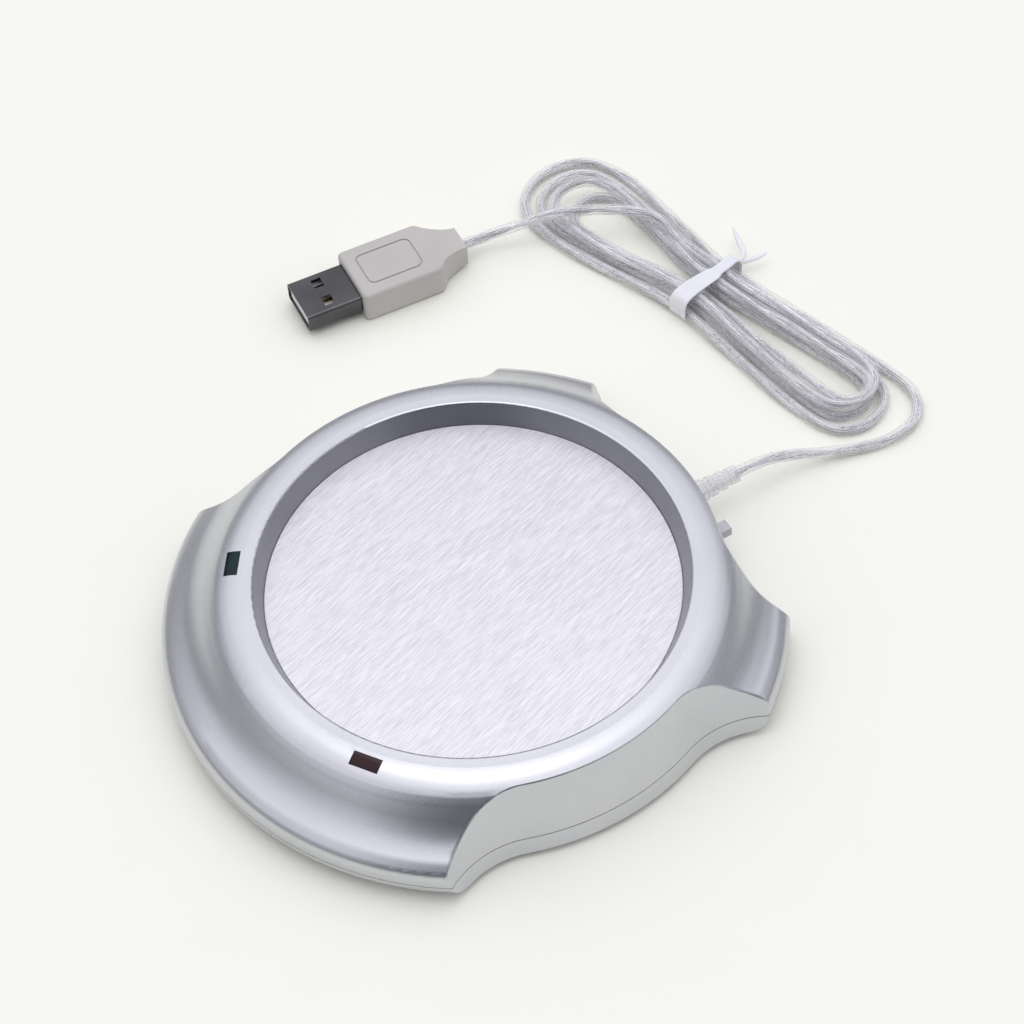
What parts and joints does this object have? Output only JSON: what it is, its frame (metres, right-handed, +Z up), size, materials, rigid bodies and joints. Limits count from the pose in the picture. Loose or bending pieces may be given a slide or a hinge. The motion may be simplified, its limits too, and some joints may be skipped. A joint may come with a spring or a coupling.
{
  "type": "electric mug warmer",
  "caption": "Round desk mug warmer with a recessed brushed heating plate, scalloped sides, two indicator windows, a slide switch and a hanked plug-in cord.",
  "frame": {"origin": "on the surface that the feet stand on, under the middle of the heating plate", "axes": "+Z up; the cord leaves the housing towards +Y; the two indicator windows are on the -Y side; scallops at +X, +Y and -X"},
  "size_m": [0.1572, 0.1738, 0.0195],
  "materials": {
    "silver_shell": "satin silver paint on moulded plastic",
    "base_shell": "satin silver paint on moulded plastic",
    "brushed_plate": "brushed in one direction",
    "heater_foil": "amber film over etched foil",
    "felt": "pressed felt",
    "zinc_steel": "zinc plated",
    "cutout_metal": "nickel plated",
    "screw_steel": "nickel plated",
    "foot_rubber": "matt rubber",
    "smoked_window": "dark smoked, glossy",
    "board": "solder mask over laminate",
    "lamp_epoxy": "tinted epoxy",
    "chip_plastic": "moulded epoxy",
    "slider_plastic": "fine grained",
    "clear_vinyl": "translucent vinyl",
    "clear_cord": "clear vinyl over tinned strands",
    "lead_vinyl": "soft vinyl",
    "tie_vinyl": "pale vinyl",
    "plug_vinyl": "warm grey soft vinyl",
    "plug_steel": "nickel plated, folded",
    "tongue_plastic": "white nylon",
    "contact_gilt": "gilt"
  },
  "bodies": {
    "housing": {"top_cover": "silver_shell", "base_cover": "base_shell", "heating_plate": "brushed_plate", "film_heater": "heater_foil", "insulation_pad": "felt", "heater_retainer": "zinc_steel", "thermal_cutout": "cutout_metal", "cover_screws": "screw_steel", "retainer_screws": "screw_steel", "board_screws": "screw_steel", "clamp_screws": "screw_steel", "foot_pads": "foot_rubber", "power_window": "smoked_window", "heat_window": "smoked_window", "circuit_board": "board", "power_lamp": "lamp_epoxy", "heat_lamp": "lamp_epoxy", "board_parts": "chip_plastic", "switch_body": "cutout_metal", "cord_bush": "clear_vinyl", "inner_cord": "clear_cord", "cord_clamp": "slider_plastic", "supply_leads": "lead_vinyl", "heater_leads": "lead_vinyl", "switch_leads": "lead_vinyl", "cord_hank": "clear_cord", "cord_near": "clear_cord", "cord_far": "clear_cord", "cord_tie": "tie_vinyl", "plug_overmould": "plug_vinyl", "plug_shell": "plug_steel", "plug_tongue": "tongue_plastic", "plug_contacts": "contact_gilt"},
    "slider": {"switch_slider": "slider_plastic"}
  },
  "joints": [
    {"name": "heater_switch", "type": "slide", "parent": "housing", "child": "slider", "axis": [1, 0, 0], "range_m": [0, 0.002]}
  ]
}
